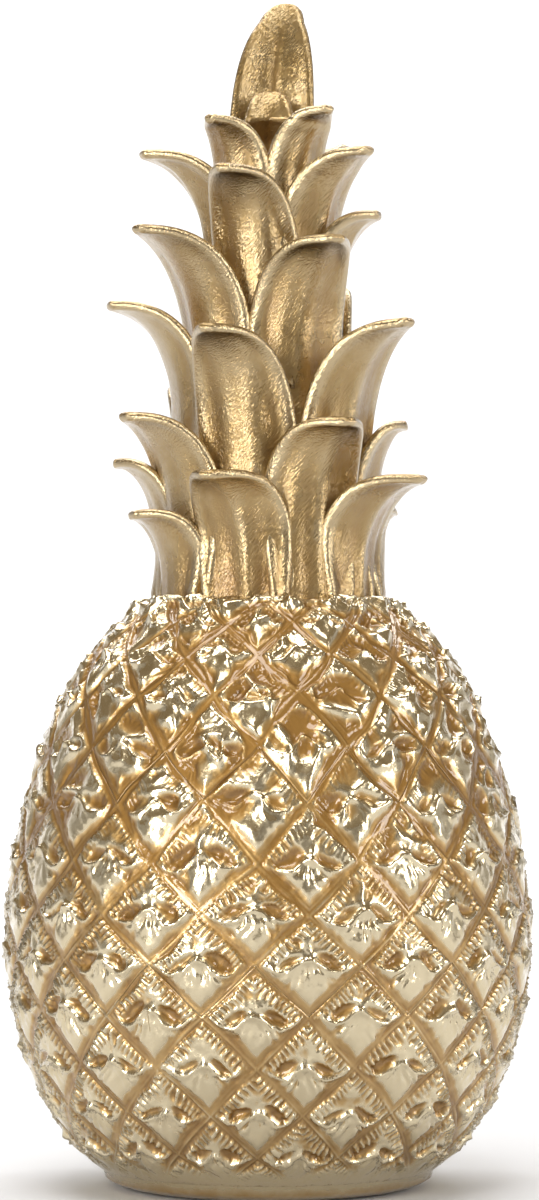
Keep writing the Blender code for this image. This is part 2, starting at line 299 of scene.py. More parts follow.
@dataclass(frozen=True)
class GoldLacquer:
    """Gold metallic lacquer sprayed on cast polyresin, with a brown-gold glaze wiped into the hollows.

    The aluminium-flake lacquer gives the eye a pale champagne metal that is soft-edged where the spray
    is dry and glossy where it pooled. A clear coat adds the white glints that gold alone would tint,
    and the glaze turns every hollow a deeper, browner gold.
    """

    name: str
    high_colour: str
    worn_colour: str
    hollow_colour: str
    coat_roughness: float
    roughness: float
    glaze_roughness: float
    flake_tilt: float
    brush_mm: float
    brush_height_mm: float
    crease_mm: float
    crease_height_mm: float
    clear_coat: float = 1.0
    roughness_spread: float = 0.14
    pool_mm: float = 9.0
    patch_mm: float = 4.0
    patch_share: float = 0.5
    flake_mm: float = 0.35
    stroke_slant: float = 38.0
    stroke_length: float = 7.0
    # How much glaze there is where the high, the worn and the hollow colour are whole
    colour_places: tuple[float, float, float] = (0.08, 0.42, 0.92)

    def colour(self, tree: bpy.types.NodeTree, glaze: bpy.types.NodeSocket) -> bpy.types.NodeSocket:
        """Turn the lacquer browner the more glaze lies on it.

        Args:
            tree: The material's tree.
            glaze: How much glaze there is, from 0 to 1.

        Returns:
            The colour.
        """
        tone = add_node(tree, "ShaderNodeValToRGB", {}, {"Fac": glaze})
        ramp = tone.color_ramp
        high, worn, hollow = self.colour_places
        ramp.elements[0].position = high
        ramp.elements[0].color = linear(self.high_colour)
        ramp.elements[1].position = hollow
        ramp.elements[1].color = linear(self.hollow_colour)
        ramp.elements.new(worn).color = linear(self.worn_colour)
        return tone.outputs["Color"]

    def tool_marks(self, tree: bpy.types.NodeTree, place: bpy.types.NodeSocket) -> bpy.types.NodeSocket:
        """Model what is too fine for the mesh: creases of the carving, and brush strokes that slant over it.

        Args:
            tree: The material's tree.
            place: Where the patterns are read.

        Returns:
            The normal.
        """
        ridged = {
            "noise_type": "RIDGED_MULTIFRACTAL", "Detail": 1.5, "Roughness": 0.5, "Offset": 0.8, "Gain": 1.6
        }  # fmt: skip
        creases = add_noise(tree, place, self.crease_mm, ridged)
        depth = {"Strength": 1.0, "Distance": self.crease_height_mm * MM}
        creased = add_node(tree, "ShaderNodeBump", depth, {"Height": creases}).outputs["Normal"]
        slanting = {
            "vector_type": "TEXTURE",
            "Rotation": (0.0, math.radians(self.stroke_slant), 0.0),
            "Scale": (1.0, 1.0, self.stroke_length),
        }
        slant = add_node(tree, "ShaderNodeMapping", slanting, {"Vector": place}).outputs["Vector"]
        strokes = add_noise(tree, slant, self.brush_mm, {"Detail": 2.0, "Roughness": 0.55})
        depth = {"Strength": 1.0, "Distance": self.brush_height_mm * MM}
        links = {"Height": strokes, "Normal": creased}
        return add_node(tree, "ShaderNodeBump", depth, links).outputs["Normal"]

    def material(self) -> bpy.types.Material:
        """Build the lacquer as nodes.

        Returns:
            The material, which reads the value "hollow" of each point: 0 on high ground, 1 in a hollow.
        """
        material = bpy.data.materials.new(self.name)
        material.use_nodes = True
        tree = material.node_tree
        shader = tree.nodes["Principled BSDF"]
        shader.inputs["Metallic"].default_value = 1.0
        shader.inputs["Coat Weight"].default_value = self.clear_coat
        shader.inputs["Coat Roughness"].default_value = self.coat_roughness
        place = add_node(tree, "ShaderNodeTexCoord", {}, {}).outputs["Object"]
        # On the crown this value also holds painted shade, on the leaves' inner faces and at their feet.
        hollow = add_node(tree, "ShaderNodeAttribute", {"attribute_name": "hollow"}, {}).outputs["Fac"]

        # The wiped glaze clings unevenly, in patches of about 4 mm.
        patches = add_noise(tree, place, self.patch_mm, {"Detail": 3.0, "Roughness": 0.6})
        uneven = add_node(
            tree,
            "ShaderNodeMath",
            {"operation": "MULTIPLY_ADD", "#1": self.patch_share, "#2": -0.5 * self.patch_share},
            {"#0": patches},
        ).outputs[0]
        clinging = {"operation": "ADD", "use_clamp": True}
        glaze = add_node(tree, "ShaderNodeMath", clinging, {"#0": hollow, "#1": uneven}).outputs[0]
        tree.links.new(self.colour(tree, glaze), shader.inputs["Base Color"])

        # Dry and pooled spray: the gloss changes over about 9 mm. The glaze is duller.
        pooled = add_noise(tree, place, self.pool_mm, {"Detail": 2.0})
        glossiest = self.roughness - 0.5 * self.roughness_spread
        spread = add_node(
            tree,
            "ShaderNodeMath",
            {"operation": "MULTIPLY_ADD", "#1": self.roughness_spread, "#2": glossiest},
            {"#0": pooled},
        ).outputs[0]
        rough = add_node(
            tree,
            "ShaderNodeMath",
            {"operation": "MULTIPLY_ADD", "#1": self.glaze_roughness - self.roughness},
            {"#0": glaze, "#2": spread},
        ).outputs[0]
        tree.links.new(rough, shader.inputs["Roughness"])

        # Each metal flake lies a little askew, so that it glints on its own. A real one is about 0.05 mm,
        # too fine to show here, so they are drawn coarser.
        brushed = self.tool_marks(tree, place)
        flake_size = {"Scale": 1.0 / (self.flake_mm * MM)}
        flakes = add_node(tree, "ShaderNodeTexVoronoi", flake_size, {"Vector": place})
        askew = add_node(
            tree,
            "ShaderNodeVectorMath",
            {"operation": "MULTIPLY_ADD", "#1": (self.flake_tilt,) * 3, "#2": (-0.5 * self.flake_tilt,) * 3},
            {"#0": flakes.outputs["Color"]},
        ).outputs[0]
        tilted = add_node(tree, "ShaderNodeVectorMath", {"operation": "ADD"}, {"#0": brushed, "#1": askew})
        facing = add_node(tree, "ShaderNodeVectorMath", {"operation": "NORMALIZE"}, {"#0": tilted.outputs[0]})
        tree.links.new(facing.outputs[0], shader.inputs["Normal"])
        tree.links.new(brushed, shader.inputs["Coat Normal"])
        return material


@dataclass(frozen=True)
class StudioPaper:
    """Seamless pale studio paper: matt and even, so it gives the eye nothing but a clean ground."""

    colour: str = "D3D5D9"
    roughness: float = 0.9
    tooth_mm: float = 1.5
    tooth_height_mm: float = 0.02
    tooth_strength: float = 0.2

    def material(self) -> bpy.types.Material:
        """Build the paper as nodes, with a faint tooth of about 1.5 mm.

        Returns:
            The material.
        """
        material = bpy.data.materials.new("matt_studio_paper")
        material.use_nodes = True
        tree = material.node_tree
        shader = tree.nodes["Principled BSDF"]
        shader.inputs["Base Color"].default_value = linear(self.colour)
        shader.inputs["Roughness"].default_value = self.roughness
        place = add_node(tree, "ShaderNodeTexCoord", {}, {}).outputs["Object"]
        tooth = add_noise(tree, place, self.tooth_mm, {})
        settings = {"Strength": self.tooth_strength, "Distance": self.tooth_height_mm * MM}
        bump = add_node(tree, "ShaderNodeBump", settings, {"Height": tooth})
        tree.links.new(bump.outputs["Normal"], shader.inputs["Normal"])
        return material


# The body


class Band(Enum):
    """The three bands of the body, each with its first and last row of scales."""

    LOWER = (0, 4)
    MIDDLE = (5, 8)
    UPPER = (9, 13)


@dataclass
class SkinOutline:
    """The turned outline that the scales stand on."""

    heights_mm: tuple[float, ...] = (0.0, 3.4, 8.5, 18.5, 34.0, 54.0, 75.0, 93.0, 108.0, 118.0, 123.5)
    radii_mm: tuple[float, ...] = (30.0, 35.8, 41.6, 48.3, 54.0, 56.2, 53.6, 48.6, 41.6, 33.4, 26.8)
    slope_step_mm: float = 0.5
    lean_samples: int = 200

    def radius(self, height_mm: np.ndarray) -> np.ndarray:
        """Read the radius from a smooth curve through the outline.

        Args:
            height_mm: Heights above the underside.

        Returns:
            One radius in mm for each height.
        """
        heights = np.array(self.heights_mm)
        radii = np.array(self.radii_mm)
        last = len(heights) - 1
        index = np.clip(np.searchsorted(heights, height_mm) - 1, 0, last - 1)
        before = np.maximum(index - 1, 0)
        after = np.minimum(index + 2, last)
        gap = heights[index + 1] - heights[index]
        part = np.clip((height_mm - heights[index]) / gap, 0.0, 1.0)
        slope_in = (radii[index + 1] - radii[before]) / (heights[index + 1] - heights[before]) * gap
        slope_out = (radii[after] - radii[index]) / (heights[after] - heights[index]) * gap
        change = radii[index + 1] - radii[index]
        curve = 3.0 * change - 2.0 * slope_in - slope_out
        twist = slope_in + slope_out - 2.0 * change
        return radii[index] + part * (slope_in + part * (curve + part * twist))

    def lean(self, height_mm: np.ndarray) -> np.ndarray:
        """Read how fast the radius grows with the height.

        Args:
            height_mm: Heights above the underside.

        Returns:
            One slope for each height.
        """
        samples = np.linspace(0.0, self.heights_mm[-1], self.lean_samples)
        return np.interp(height_mm, samples, np.gradient(self.radius(samples), samples[1]))

    def place(self, bearing: np.ndarray, height_mm: np.ndarray, above_mm: np.ndarray) -> np.ndarray:
        """Find points that stand above the skin along its normal.

        Args:
            bearing: Bearings in degrees.
            height_mm: Heights of the points of the skin under them.
            above_mm: How far they stand above it.

        Returns:
            Points in mm, one row of three each.
        """
        angle = np.radians(bearing)
        rise = self.radius(height_mm + self.slope_step_mm) - self.radius(height_mm - self.slope_step_mm)
        slope = rise / (2.0 * self.slope_step_mm)
        length = np.sqrt(1.0 + slope * slope)
        level = self.radius(height_mm) + above_mm / length
        return np.stack(
            [np.sin(angle) * level, -np.cos(angle) * level, height_mm - above_mm * slope / length], axis=1
        )


@dataclass
class ScalePlaces:
    """Where each point of the skin lies on its scale.

    Attributes:
        across: Place across its diamond, -1 to 1.
        up: Place up its diamond, -1 to 1.
        half_width: Half the diamond's width, in mm.
        half_height: Half the diamond's height, in mm.
        inside: How far inside the ragged edge it is, in mm.
        lift: How far the lip is raised on this scale, as a share of the half height.
        above_lip: How far above the lip it is, in mm.
        over: 0 below the lip and 1 above it.
        size: The scale's size against a full one.
        upper: How much of the upper rows' carving it has.
        luck: Four random shares of its scale, 0 to 1.
        skin: The point itself, in mm.
    """

    across: np.ndarray
    up: np.ndarray
    half_width: np.ndarray
    half_height: np.ndarray
    inside: np.ndarray
    lift: np.ndarray
    above_lip: np.ndarray
    over: np.ndarray
    size: np.ndarray
    upper: np.ndarray
    luck: np.ndarray
    skin: np.ndarray


@dataclass
class ScaleCarving:
    """The relief of one scale, in mm above the bottom of the grooves round it."""

    full_spread_mm: float = 7.6
    floor_mm: float = 0.6
    groove_line_mm: float = 0.5
    groove_line_width_mm: float = 0.3
    band_mm: float = 0.12
    ragged_low_mm: float = 0.24
    ragged_high_mm: float = 0.45
    ragged_pitch_mm: float = 4.0
    warp: float = 0.07
    warp_pitch_mm: float = 4.0
    crest_mm: float = 1.3
    bulge_mm: float = 1.6
    lip_mm: float = 0.5
    lip_width_mm: float = 0.36
    thorn_mm: float = 0.5
    thorn_width_mm: float = 1.15
    thorn_height_mm: float = 0.9
    hollow_mm: float = 0.85
    hollow_long_mm: float = 2.8
    hollow_tall_mm: float = 1.1
    hollow_slant: float = 30.0
    hollow_rim_mm: float = 0.25
    rib_mm: float = 0.5
    rib_pitch_mm: float = 1.25
    wrinkle_mm: float = 0.38
    wrinkles_a_turn: float = 13.0
    crumple_low_mm: float = 0.3
    crumple_high_mm: float = 0.85
    crumple_pitch_low_mm: float = 2.4
    crumple_pitch_high_mm: float = 5.4
    tilt_mm: float = 0.9
    ripple_mm: float = 0.05
    ripple_pitch_mm: float = 1.8

    def lip_line(self, across: np.ndarray) -> np.ndarray:
        """How high up the diamond the lip runs: a peak in the middle between two sagging arcs."""
        reach = np.abs(across)
        return -0.16 + 0.27 * ease(0.40, 0.0, reach) + 0.12 * ease(0.44, 0.92, reach)

    def groove_line(self, edge_mm: np.ndarray, upper: np.ndarray, skin: np.ndarray) -> np.ndarray:
        """Raise the bright line along the middle of each groove, broken in places and lower up the body.

        Args:
            edge_mm: How far each point is from the middle of its groove.
            upper: How much of the upper rows' carving it has.
            skin: The points of the skin, in mm.

        Returns:
            The line's height in mm.
        """
        broken = 0.7 + 0.6 * HandCarving(21).smooth(skin, 5.0)
        return self.groove_line_mm * broken * (1.0 - 0.4 * upper) * hump(edge_mm, self.groove_line_width_mm)

    def inside_edge(
        self, edge_mm: np.ndarray, size: np.ndarray, upper: np.ndarray, luck: np.ndarray, skin: np.ndarray
    ) -> np.ndarray:
        """Measure how far inside the ragged edge of its scale each point is.

        Args:
            edge_mm: How far it is from the middle of its groove.
            size: The scale's size against a full one.
            upper: How much of the upper rows' carving it has.
            luck: Four random shares of the scale.
            skin: The points of the skin, in mm.

        Returns:
            The distance in mm, below 0 in the groove.
        """
        band = self.band_mm * (0.7 + 0.6 * luck[:, 0]) * size
        ragged = self.ragged_low_mm + (self.ragged_high_mm - self.ragged_low_mm) * upper
        # Squared, so that the edge lies close to the line in most places and swings back from it in some.
        swing = (1.0 + HandCarving(22).smooth(skin, self.ragged_pitch_mm)) ** 2
        return edge_mm - band - ragged * swing

    def face(self, at: ScalePlaces, spread: np.ndarray) -> np.ndarray:
        """Swell the two faces of a scale: the crest above the lip and the bulge below it.

        Args:
            at: Where the points are.
            spread: Half the distance between two opposite edges of the scale.

        Returns:
            Heights in mm.
        """
        crest = self.crest_mm * ease(0.0, 0.8, at.inside)
        dome = self.bulge_mm * (1.0 - (1.0 - np.clip(at.inside / (0.5 * spread), 0.0, 1.0)) ** 3.0)
        return dome * (1.0 - at.over) + crest * at.over

    def hollows(self, at: ScalePlaces) -> np.ndarray:
        """Sink two long hollows above the lip, each with a thin rim. They slope down and outwards.

        Args:
            at: Where the points are.

        Returns:
            Heights in mm, below 0 in a hollow.
        """
        side = np.where(at.across < 0.0, at.luck[:, 2], at.luck[:, 0])
        out_mm = (np.abs(at.across) - 0.34 - 0.05 * side) * at.half_width
        rise_mm = (at.up - at.lift - 0.02 - 0.05 * side) * at.half_height
        slant = math.radians(self.hollow_slant)
        along = out_mm * math.cos(slant) - rise_mm * math.sin(slant)
        beside = out_mm * math.sin(slant) + rise_mm * math.cos(slant)
        tall_mm = self.hollow_tall_mm * at.size * (0.75 + 0.5 * side)
        lens = np.hypot(along / (self.hollow_long_mm * at.size), beside / tall_mm)
        depth = self.hollow_mm * (0.6 + 0.6 * side) * (1.0 - 0.4 * at.upper)
        rim = self.hollow_rim_mm * (1.0 - 0.8 * at.upper) * hump(lens - 1.3, 0.24) * ease(0.2, 0.8, at.inside)
        return rim - depth * np.exp(-(lens**3.2)) * ease(-0.1, 0.6, at.inside)

    def lip_and_thorn(self, at: ScalePlaces) -> np.ndarray:
        """Raise the lip across a scale, and the thorn in its middle.

        Args:
            at: Where the points are.

        Returns:
            Heights in mm.
        """
        along_lip = ease(0.86, 0.62, np.abs(at.across)) * ease(-0.2, 0.5, at.inside)
        lip = self.lip_mm * hump(at.above_lip, self.lip_width_mm) * along_lip
        thorn = hump(at.across * at.half_width, self.thorn_width_mm * at.size)
        return lip + self.thorn_mm * thorn * hump(at.above_lip + 0.2, self.thorn_height_mm)

    def fringe(self, at: ScalePlaces) -> np.ndarray:
        """Cut ribs square to the two upper edges, softer up the body.

        Args:
            at: Where the points are.

        Returns:
            Heights in mm.
        """
        along_edge_mm = (np.abs(at.across) - at.up) * 0.5 * np.hypot(at.half_width, at.half_height)
        bent_mm = along_edge_mm + 0.5 * HandCarving(23).smooth(at.skin, 3.5)
        ribs = 1.0 - 2.0 * np.abs(np.sin(np.pi * (bent_mm / self.rib_pitch_mm + 0.5 * at.luck[:, 3])))
        reach = ease(0.1, 0.5, at.inside) * ease(3.3, 2.0, at.inside) * ease(0.4, 1.0, at.above_lip)
        return self.rib_mm * ribs * reach * (1.0 - 0.8 * at.upper)

    def wrinkles(self, at: ScalePlaces) -> np.ndarray:
        """Fan wrinkles out below the thorn. They fade towards the lower corner and up the body.

        Args:
            at: Where the points are.

        Returns:
            Heights in mm.
        """
        x_mm = at.across * at.half_width
        below_mm = np.hypot(x_mm, at.above_lip - 1.0)
        turn = np.arctan2(x_mm, 1.0 - at.above_lip)
        drift = 6.0 * at.luck[:, 3] + 2.2 * HandCarving(3).smooth(at.skin, 3.0)
        fan = np.cos(turn * self.wrinkles_a_turn + drift)
        reach = (1.0 - at.over) * ease(1.2, 2.6, below_mm) * ease(7.5, 4.0, below_mm)
        reach *= ease(0.2, 1.2, at.inside)
        faint = 0.55 + 0.9 * HandCarving(26).smooth(at.skin, 2.4)
        return self.wrinkle_mm * (1.0 - 0.9 * at.upper) * faint * fan * reach

    def crumpling(self, at: ScalePlaces, carved: np.ndarray) -> np.ndarray:
        """Crumple a scale, most in the upper rows and least at its lower corner, and tilt it slightly.

        Args:
            at: Where the points are.
            carved: 0 in the groove, 1 on the scale.

        Returns:
            Heights in mm.
        """
        depth = self.crumple_low_mm + (self.crumple_high_mm - self.crumple_low_mm) * at.upper
        depth = depth * (1.0 - (0.8 - 0.5 * at.upper) * ease(-1.5, -5.0, at.above_lip / at.size))
        fine = HandCarving(7).creased(at.skin, self.crumple_pitch_low_mm, 0.32)
        coarse = HandCarving(8).creased(at.skin, self.crumple_pitch_high_mm, 0.12)
        tilt = (at.luck[:, 2] - 0.5) * at.across + (at.luck[:, 3] - 0.7) * at.up * at.upper
        return (depth * (fine + (coarse - fine) * at.upper - 0.4) + self.tilt_mm * tilt) * carved

    def height(
        self,
        across: np.ndarray,
        up: np.ndarray,
        half_width_mm: np.ndarray,
        half_height_mm: np.ndarray,
        climb: np.ndarray,
        luck: np.ndarray,
        skin: np.ndarray,
    ) -> np.ndarray:
        """Carve every scale at once.

        Args:
            across: Place across its diamond, -1 to 1.
            up: Place up its diamond, -1 to 1.
            half_width_mm: Half the diamond's width there.
            half_height_mm: Half its height there.
            climb: Height on the body, 0 at its foot and 1 at its shoulder.
            luck: Four random shares of the scale, 0 to 1, one row of four each.
            skin: The points of the skin in mm, for unevenness that runs on from scale to scale.

        Returns:
            Heights above the bottom of the groove, in mm.
        """
        spread = half_width_mm * half_height_mm / np.hypot(half_width_mm, half_height_mm)
        edge_mm = (1.0 - np.abs(across) - np.abs(up)) * spread
        upper = upper_share(climb)
        size = spread / self.full_spread_mm
        inside = self.inside_edge(edge_mm, size, upper, luck, skin)

        # Nothing inside a scale is drawn to a rule, so its features are bent a little.
        across = across + self.warp * HandCarving(24).smooth(skin, self.warp_pitch_mm)
        up = up + self.warp * HandCarving(25).smooth(skin, self.warp_pitch_mm)
        lift = (luck[:, 1] - 0.5) * 0.10
        above_lip = (up - self.lip_line(across) - lift) * half_height_mm
        over = ease(-0.35, 0.35, above_lip)
        at = ScalePlaces(
            across, up, half_width_mm, half_height_mm, inside, lift, above_lip, over, size, upper, luck, skin
        )
        carved = ease(0.1, 1.0, inside)
        height = self.face(at, spread) + self.hollows(at) + self.lip_and_thorn(at) + self.fringe(at)
        height += self.wrinkles(at) + self.crumpling(at, carved)
        height += self.ripple_mm * (1.0 - upper) * HandCarving(9).smooth(skin, self.ripple_pitch_mm)
        return (self.floor_mm + self.groove_line(edge_mm, upper, skin)) * (1.0 - carved) + height


class Shell:
    """Points and faces of the body, gathered until one band of it is closed. Lengths are in mm."""

    def __init__(self, points: np.ndarray, hollow: np.ndarray, bearings: np.ndarray) -> None:
        """Start from the points that all bands share.

        Args:
            points: The points, one row of three each.
            hollow: How deep in a hollow each of them is.
            bearings: The bearings, in radians, at which a plain ring has its points.
        """
        self.points = points
        self.hollow = hollow
        self.bearings = bearings
        self.faces: list[np.ndarray] = []

    def add(self, points: np.ndarray, glaze: float) -> np.ndarray:
        """Add points and give their places in the list.

        Args:
            points: The points, one row of three each.
            glaze: How deep in a hollow they count as.

        Returns:
            Their places.
        """
        start = len(self.points)
        self.points = np.concatenate([self.points, points])
        self.hollow = np.concatenate([self.hollow, np.full(len(points), glaze)])
        return np.arange(start, len(self.points))

    def add_ring(self, radius: float, height: float, glaze: float) -> np.ndarray:
        """Add a level ring of points.

        Args:
            radius: Its radius.
            height: Its height.
            glaze: How deep in a hollow it counts as.

        Returns:
            The places of its points.
        """
        across = np.sin(self.bearings) * radius
        along = -np.cos(self.bearings) * radius
        return self.add(np.stack([across, along, np.full(len(across), height)], axis=1), glaze)

    def bridge(self, lower: np.ndarray, upper: np.ndarray) -> None:
        """Join two rings with four-sided faces."""
        self.faces.append(loft(np.stack([lower, upper])))

    def cap(self, ring: np.ndarray, height: float, glaze: float, upwards: bool) -> None:
        """Close a ring with triangles to a point on the axis.

        Args:
            ring: The places of its points, by bearing.
            height: The height of the point on the axis.
            glaze: How deep in a hollow that point counts as.
            upwards: Whether the triangles face up.
        """
        apex = self.add(np.array([(0.0, 0.0, height)]), glaze)
        after = np.roll(ring, -1)
        ends = (ring, after) if upwards else (after, ring)
        self.faces.append(np.stack([*ends, np.repeat(apex, len(ring))], axis=1))

    def build(self, name: str) -> bpy.types.Object:
        """Make an object of the faces, and of no more points than they use.

        Args:
            name: Its name.

        Returns:
            The object.
        """
        used = np.unique(np.concatenate([group.ravel() for group in self.faces]))
        place = np.full(len(self.points), -1)
        place[used] = np.arange(len(used))
        faces = [place[group] for group in self.faces]
        return new_mesh_object(name, self.points[used] * MM, faces, {"hollow": self.hollow[used]})


@dataclass
class Body:
    """The pineapple's body: rows of diamond scales, half a scale out of step, over a plain foot."""

    outline: SkinOutline
    carving: ScaleCarving
    finish: GoldLacquer
    steps_a_scale: int
    scales_round: int = 16
    scale_bearing: float = -3.0
    crossings_mm: tuple[float, ...] = (
        3.0, 9.5, 18.4, 28.1, 38.6, 48.9, 58.9, 69.5, 80.8, 92.1, 102.6, 111.0, 117.8, 123.0
    )  # fmt: skip
    groove_depth_mm: float = 2.3
    band_depth_mm: float = 0.8
    lump_mm: float = 1.1
    lump_pitch_mm: float = 5.0
    wobble_low: float = 0.05
    wobble_high: float = 0.11
    wobble_pitch_mm: float = 11.0
    glaze_from_mm: float = 1.4
    glaze_full_mm: float = 0.6
    low_glaze: float = 0.85
    plain_glaze: float = 0.35
    hidden_glaze: float = 0.4
    underside_radius_mm: float = 28.0
    # The foot's rings: how far out from the underside's edge to the lowest groove, and how high in mm
    foot_rings: tuple[tuple[float, float], ...] = (
        (0.93, 2.1), (0.72, 1.2), (0.38, 0.45), (0.1, 0.1), (-0.15, 0.0)
    )  # fmt: skip
    shoulder_mm: float = 126.0
    cap_gap_mm: float = 4.0

    @property
    def top_row(self) -> int:
        """The number of the highest groove crossing, counted from 0."""
        return len(self.crossings_mm) - 1

    @property
    def points_round(self) -> int:
        """How many points of the lattice stand at one level."""
        return self.scales_round * self.steps_a_scale

    def row(self, level: int) -> tuple[np.ndarray, np.ndarray]:
        """Give one level of the lattice of points.

        Args:
            level: Counted from the lowest groove crossing, steps_a_scale to a row of scales.

        Returns:
            How far round each of its points is, counted in half scales, and its height in rows of scales.
        """
        around = (2.0 * np.arange(self.points_round) + level % 2) / self.steps_a_scale
        return around, np.full(len(around), level / self.steps_a_scale)

    def scale_luck(self, column: np.ndarray, row: np.ndarray) -> np.ndarray:
        """Give four random shares to each scale.

        Args:
            column: How far round the scale's middle is, in half scales.
            row: Its row.

        Returns:
            One row of four shares from 0 to 1 for each scale.
        """
        table = np.random.default_rng(20).random((2 * self.scales_round, self.top_row + 3, 4))
        return table[column % (2 * self.scales_round), row]

    def surface(self, around: np.ndarray, rows: np.ndarray) -> tuple[np.ndarray, np.ndarray]:
        """Place points of the carved surface.

        Args:
            around: How far round each point is, in half scales.
            rows: Its height, in rows of scales.

        Returns:
            The points in mm, and how deep in a hollow each of them is, from 0 to 1.
        """
        levels = np.arange(len(self.crossings_mm))
        turn = 180.0 / self.scales_round
        bearing = self.scale_bearing + around * turn
        height_mm = np.interp(rows, levels, self.crossings_mm)
        skin = self.outline.place(bearing, height_mm, np.zeros(len(around)))

        # The two sets of slanting grooves count the scales. A point on a groove is counted from a hair
        # beside it, so that it belongs to one scale for certain.
        first = (around + rows - 1.0) / 2.0
        second = (rows - around - 1.0) / 2.0
        inset = 1e-6
        first_cell = np.floor(first + inset * np.sign(0.5 - (first % 1.0)))
        second_cell = np.floor(second + inset * np.sign(0.5 - (second % 1.0)))
        u = 2.0 * (first - first_cell) - 1.0
        w = 2.0 * (second - second_cell) - 1.0
        across = (u - w) / 2.0
        up = (u + w) / 2.0
        column = (first_cell - second_cell).astype(int)
        row = np.clip(first_cell + second_cell + 2, 0, len(self.crossings_mm)).astype(int)

        half_width = self.outline.radius(height_mm) * math.radians(turn)
        level_gap = np.interp(rows, levels, np.gradient(np.array(self.crossings_mm), levels))
        half_height = level_gap * np.sqrt(1.0 + self.outline.lean(height_mm) ** 2)
        climb = height_mm / self.crossings_mm[-1]
        luck = self.scale_luck(column, row)
        carved = self.carving.height(across, up, half_width, half_height, climb, luck, skin)

        # The lowest and highest rows sink into a plain band, and the highest ends in small lumps.
        blend = ease(0.0, 0.75, rows) * ease(self.top_row + 0.05, self.top_row - 0.15, rows)
        above = carved * blend + (self.groove_depth_mm - self.band_depth_mm) * (1.0 - blend)
        lumps = HandCarving(31).creased(skin, self.lump_pitch_mm, 0.32)
        above += self.lump_mm * lumps * ease(self.top_row - 0.7, self.top_row - 0.2, rows)

        # The grooves wander a little, and more up the body.
        upper = upper_share(climb)
        wobble = (self.wobble_low + (self.wobble_high - self.wobble_low) * upper) * blend
        shift = wobble * HandCarving(1).smooth(skin, self.wobble_pitch_mm)
        drift = wobble * HandCarving(2).smooth(skin, self.wobble_pitch_mm)
        bearing = bearing + shift * turn
        height_mm = height_mm + drift * level_gap
        points = self.outline.place(bearing, height_mm, above - self.groove_depth_mm)

        # The glaze lies in what is low, and thinner towards the foot.
        thickness = self.low_glaze + (1.0 - self.low_glaze) * upper
        return points, ease(self.glaze_from_mm, self.glaze_full_mm, above) * blend * thickness

    def cells(self) -> tuple[np.ndarray, np.ndarray]:
        """List the four-sided cells of the lattice.

        Returns:
            Their corners, counter-clockwise from outside, and the row of scales that each lies in.
        """
        steps = self.steps_a_scale
        wide = self.points_round
        corners = []
        rows = []
        for level in range(self.top_row * steps - 1):
            index = np.arange(wide)
            place = 2 * index + level % 2
            left = ((place - 1 - (level + 1) % 2) // 2) % wide
            right = ((place + 1 - (level + 1) % 2) // 2) % wide
            above = (level + 1) * wide
            diamond = [level * wide + index, above + right, above + wide + index, above + left]
            corners.append(np.stack(diamond, axis=1))
            middle = (level + 1.0) / steps
            first = np.floor((place / steps + middle - 1.0) / 2.0)
            second = np.floor((middle - place / steps - 1.0) / 2.0)
            rows.append(first + second + 2)
        return np.concatenate(corners), np.concatenate(rows).astype(int)

    def zigzag(self, row: int) -> np.ndarray:
        """Walk round the groove above a row of scales.

        Args:
            row: The row under the groove.

        Returns:
            The points of the lattice on it, in order of their bearing.
        """
        steps = self.steps_a_scale
        walk = []
        for column in range(row % 2, 2 * self.scales_round, 2):
            for step in range(2 * steps):
                rise = step if step <= steps else 2 * steps - step
                level = row * steps + rise
                place = (column - 1) * steps + step
                walk.append(level * self.points_round + ((place - level % 2) // 2) % self.points_round)
        return np.array(walk)

    def close_foot(self, shell: Shell) -> None:
        """Round the foot under the lowest row and close it with the flat underside."""
        ring = np.arange(self.points_round)
        shell.faces.append(np.stack([ring, np.roll(ring, -1), self.points_round + ring], axis=1))
        edge = shell.points[ring]
        foot_radius = float(np.hypot(edge[:, 0], edge[:, 1]).mean())
        for share, height in self.foot_rings:
            radius = self.underside_radius_mm + (foot_radius - self.underside_radius_mm) * share
            lower = shell.add_ring(radius, height, self.plain_glaze)
            shell.bridge(lower, ring)
            ring = lower
        shell.cap(ring, 0.0, self.hidden_glaze, False)

    def close_shoulder(self, shell: Shell) -> None:
        """Close the body over the highest row, under the crown."""
        wide = self.points_round
        level = self.top_row * self.steps_a_scale
        highest = level * wide + np.arange(wide)
        below = (level - 1) * wide + ((2 * np.arange(wide) + level % 2 + 1 - (level - 1) % 2) // 2) % wide
        shell.faces.append(np.stack([below, np.roll(highest, -1), highest], axis=1))
        shell.cap(highest, self.shoulder_mm, self.hidden_glaze, True)

    def build_band(self, band: Band, shell: Shell, cells: np.ndarray, rows: np.ndarray) -> bpy.types.Object:
        """Close one band of scales into a piece of its own, so that it meets its neighbours in a groove.

        Args:
            band: Which band.
            shell: All points of the lattice, and no faces yet.
            cells: All cells of the lattice.
            rows: The row of scales of each cell.

        Returns:
            The band.
        """
        first, last = band.value
        shell.faces.append(cells[(rows >= first) & (rows <= last)])
        if first == 0:
            self.close_foot(shell)
        else:
            groove = self.zigzag(first - 1)
            inner = float(shell.points[groove, 2].mean()) + self.cap_gap_mm
            shell.cap(groove, inner, self.hidden_glaze, False)
        if last >= self.top_row:
            self.close_shoulder(shell)
        else:
            groove = self.zigzag(last)
            inner = float(shell.points[groove, 2].mean()) - self.cap_gap_mm
            shell.cap(groove, inner, self.hidden_glaze, True)
        return shell.build(f"carved_scales_{band.name.lower()}")

